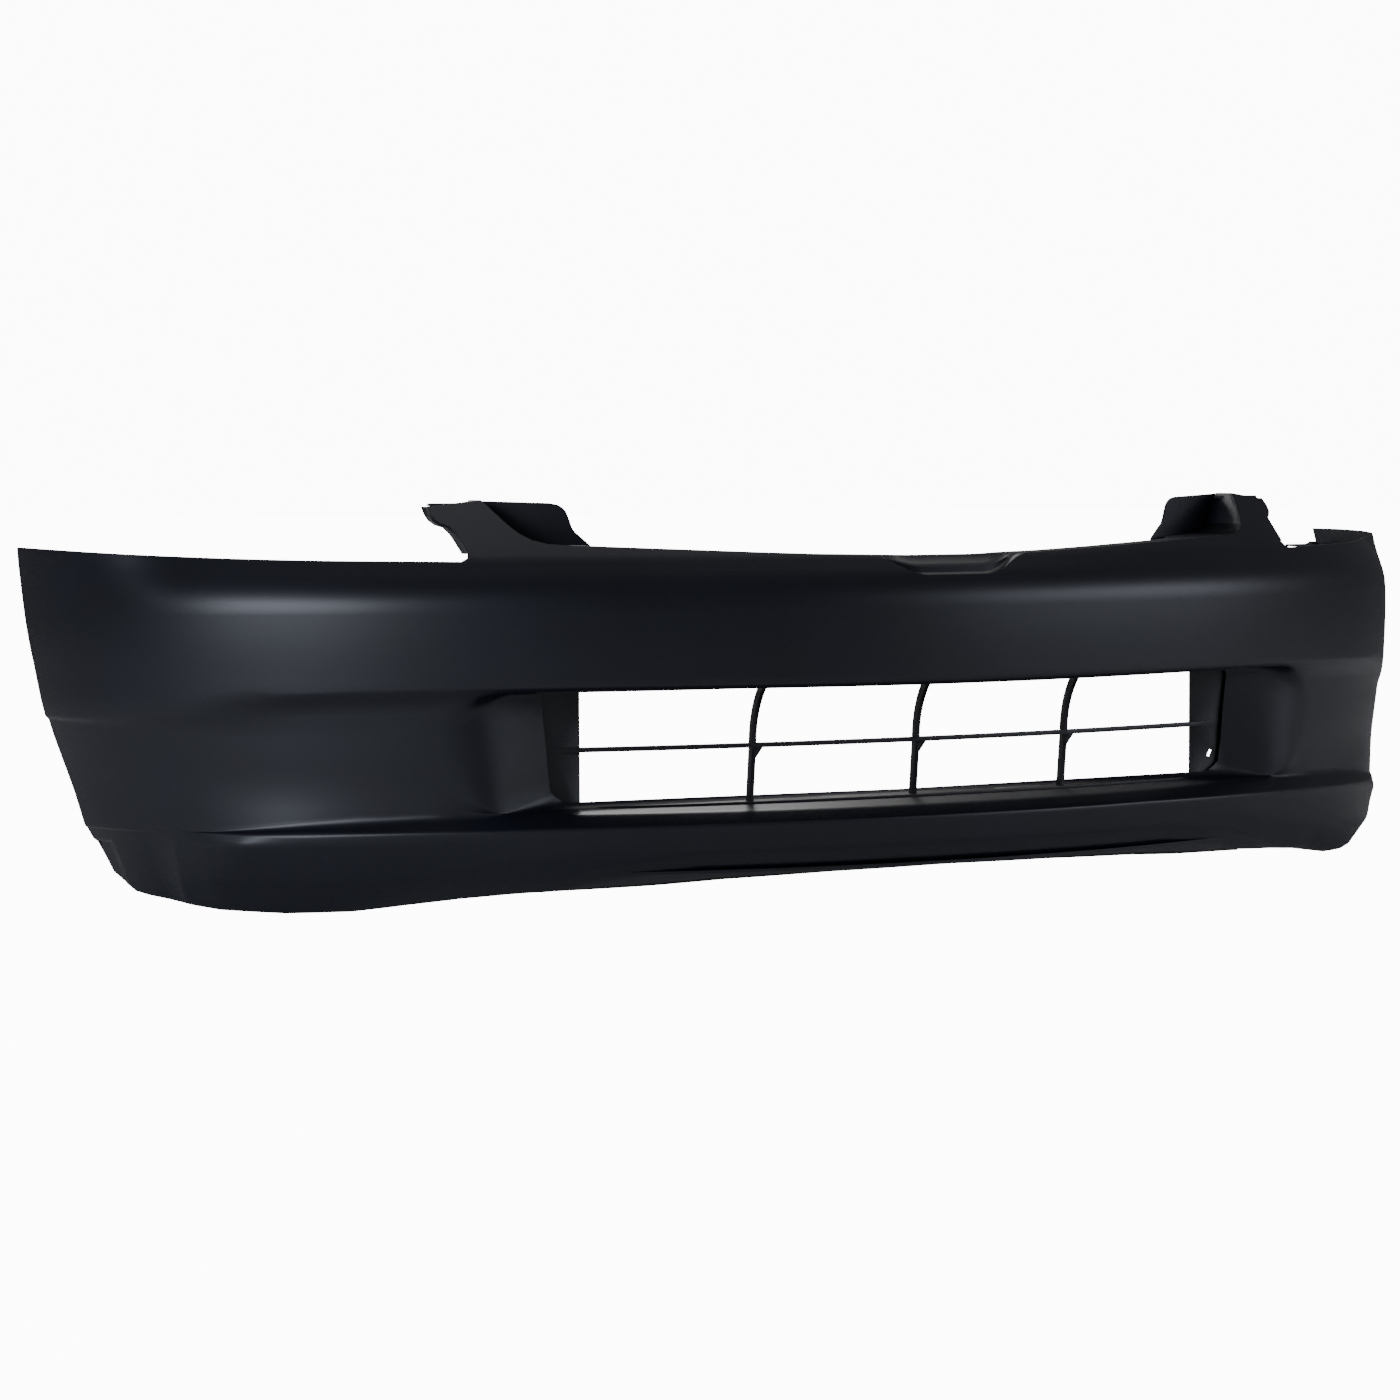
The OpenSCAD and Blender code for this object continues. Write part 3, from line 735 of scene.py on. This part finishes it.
def spread_by_nodes(name, pattern, spots, finish, seed, flipped):
    """One mesh with the pattern at each spot, each turned about its own axis by a random amount."""
    tree = bpy.data.node_groups.new(name + "_spread", "GeometryNodeTree")
    tree.interface.new_socket("Geometry", in_out="OUTPUT", socket_type="NodeSocketGeometry")
    sockets = {label: tree.interface.new_socket(label, in_out="INPUT", socket_type=kind)
               for label, kind in (("Geometry", "NodeSocketGeometry"), ("Pattern", "NodeSocketObject"),
                                   ("Finish", "NodeSocketMaterial"), ("Seed", "NodeSocketInt"),
                                   ("Tilt", "NodeSocketFloat"))}
    source, sink = tree.nodes.new("NodeGroupInput"), tree.nodes.new("NodeGroupOutput")
    shape = tree.nodes.new("GeometryNodeObjectInfo")
    copies = tree.nodes.new("GeometryNodeInstanceOnPoints")
    turn = tree.nodes.new("FunctionNodeRandomValue")
    turn.inputs["Max"].default_value = math.pi
    both = tree.nodes.new("ShaderNodeCombineXYZ")
    real = tree.nodes.new("GeometryNodeRealizeInstances")
    painted = tree.nodes.new("GeometryNodeSetMaterial")
    link = tree.links.new
    link(source.outputs["Geometry"], copies.inputs["Points"])
    link(source.outputs["Pattern"], shape.inputs["Object"])
    link(shape.outputs["Geometry"], copies.inputs["Instance"])
    link(source.outputs["Seed"], turn.inputs["Seed"])
    link(source.outputs["Tilt"], both.inputs["X"])
    link(next(o for o in turn.outputs if o.enabled), both.inputs["Z"])
    link(both.outputs[0], copies.inputs["Rotation"])
    link(copies.outputs["Instances"], real.inputs["Geometry"])
    link(real.outputs["Geometry"], painted.inputs["Geometry"])
    link(source.outputs["Finish"], painted.inputs["Material"])
    link(painted.outputs["Geometry"], sink.inputs["Geometry"])
    made = mesh_object(name, spots, [])
    change = made.modifiers.new("spread", "NODES")
    change.node_group = tree
    change[sockets["Pattern"].identifier] = pattern
    change[sockets["Finish"].identifier] = finish
    change[sockets["Seed"].identifier] = seed
    change[sockets["Tilt"].identifier] = math.pi if flipped else 0.0
    plain_mesh(made)
    return made


def screw_spots(node, flipped):
    """Seats of the screw heads of a CAD node, one for each screw."""
    points = [v.co for v in frame["nodes"][node].data.vertices]
    spots = []
    for x in screw_places:
        near = [p for p in points if abs(p.x - x) < 0.02]
        low, high = [[end(p[k] for p in near) for k in range(3)] for end in (min, max)]
        seat = low[2] + head_height if flipped else high[2] - head_height
        spots.append(((low[0] + high[0]) / 2, (low[1] + high[1]) / 2, seat))
    return spots


for node, name, flipped, seed in (("grille_top_screws", "top_screws", False, 3),
                                  ("grille_bottom_screws", "bottom_screws", True, 8)):
    low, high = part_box(node)
    pattern = pan_head_screw(high.z - low.z - head_height)
    screws = spread_by_nodes(name, pattern, screw_spots(node, flipped), zinc, seed, flipped)
    bpy.data.objects.remove(pattern)
    finish_piece(screws, node, "body", zinc)
for hand in ("left", "right"):
    nuts = merged_copy("liner_nuts_" + hand, "spring_nuts_" + hand, 0.0002)
    finish_piece(nuts, "liner_nuts_" + hand, "body", spring)

# ---- Studio ----
# A pale floor under the chin and a plain surround, both bright to the lens only; a key and a
# fill at the sides, and two weak soft boxes above and behind.
floor = mesh_object("floor", [(-30, -30, 0), (30, -30, 0), (30, 30, 0), (-30, 30, 0)], [(0, 1, 2, 3)])
pale = bpy.data.materials.new("pale_floor")
pale.use_nodes = True
floor_shader = pale.node_tree.nodes["Principled BSDF"]
floor_shader.inputs["Base Color"].default_value = (0.86, 0.86, 0.86, 1)
floor_shader.inputs["Roughness"].default_value = 0.9
floor.data.materials.append(pale)

world = bpy.data.worlds.new("studio")
world.use_nodes = True
bpy.context.scene.world = world
sky = world.node_tree.nodes["Background"]
sky.inputs["Color"].default_value = (0.96, 0.97, 1.0, 1)
sky.inputs["Strength"].default_value = 0.10


def bright_to_lens(tree, dim, bright):
    """A mix that the lens sees as bright, while the part is lit by the dim one."""
    ray = tree.nodes.new("ShaderNodeLightPath")
    choice = tree.nodes.new("ShaderNodeMixShader")
    tree.links.new(ray.outputs["Is Camera Ray"], choice.inputs[0])
    tree.links.new(dim, choice.inputs[1])
    tree.links.new(bright, choice.inputs[2])
    return choice.outputs[0]


backdrop = world.node_tree.nodes.new("ShaderNodeBackground")
backdrop.inputs["Strength"].default_value = 14.0
world.node_tree.links.new(bright_to_lens(world.node_tree, sky.outputs[0], backdrop.outputs[0]),
                          world.node_tree.nodes["World Output"].inputs["Surface"])
glow = pale.node_tree.nodes.new("ShaderNodeEmission")
glow.inputs["Strength"].default_value = 12.0
lit = pale.node_tree.nodes.new("ShaderNodeAddShader")
pale.node_tree.links.new(floor_shader.outputs[0], lit.inputs[0])
pale.node_tree.links.new(glow.outputs[0], lit.inputs[1])
pale.node_tree.links.new(bright_to_lens(pale.node_tree, floor_shader.outputs[0], lit.outputs[0]),
                         pale.node_tree.nodes["Material Output"].inputs["Surface"])


def soft_box(name, place, target, size, power, colour=(1, 1, 1)):
    """A rectangular light at a place, turned to face a target."""
    data = bpy.data.lights.new(name, "AREA")
    data.shape = "RECTANGLE"
    data.size, data.size_y = size
    data.energy = power
    data.color = colour
    made = bpy.data.objects.new(name, data)
    bpy.context.scene.collection.objects.link(made)
    made.location = place
    made.rotation_mode = "QUATERNION"
    made.rotation_quaternion = (Vector(target) - Vector(place)).to_track_quat("-Z", "Y")


cool = (0.82, 0.87, 1.0)
soft_box("key", (-3.3, -1.5, 1.1), (-0.6, -0.2, 0.33), (2.0, 0.7), 60, cool)
soft_box("fill", (2.6, -2.2, 1.0), (0.4, -0.1, 0.33), (2.6, 0.8), 28, cool)
soft_box("top", (0.2, 0.6, 2.6), (0, 0, 0.3), (3.0, 0.8), 14)
soft_box("rear", (0.4, 3.2, 1.6), (0, 0, 0.25), (2.4, 1.2), 30)

# ---- Camera ----
# Long lens, low, from the left of the front.
camera_data = bpy.data.cameras.new("camera")
camera_data.sensor_width = 36
camera_data.lens = 90.45
camera = bpy.data.objects.new("camera", camera_data)
bpy.context.scene.collection.objects.link(camera)
azimuth, elevation, roll = math.radians(-25.234), math.radians(3.803), math.radians(-0.305)
back = Vector((math.sin(azimuth) * math.cos(elevation), -math.cos(azimuth) * math.cos(elevation),
               math.sin(elevation)))
right = Vector((math.cos(azimuth), math.sin(azimuth), 0))
up = back.cross(right)
turned_right = right * math.cos(roll) + up * math.sin(roll)
turned_up = up * math.cos(roll) - right * math.sin(roll)
axes = Matrix((turned_right, turned_up, back)).transposed()
camera.matrix_world = Matrix.Translation((-1.9255, -3.7098, 0.4883)) @ axes.to_4x4()
bpy.context.scene.camera = camera
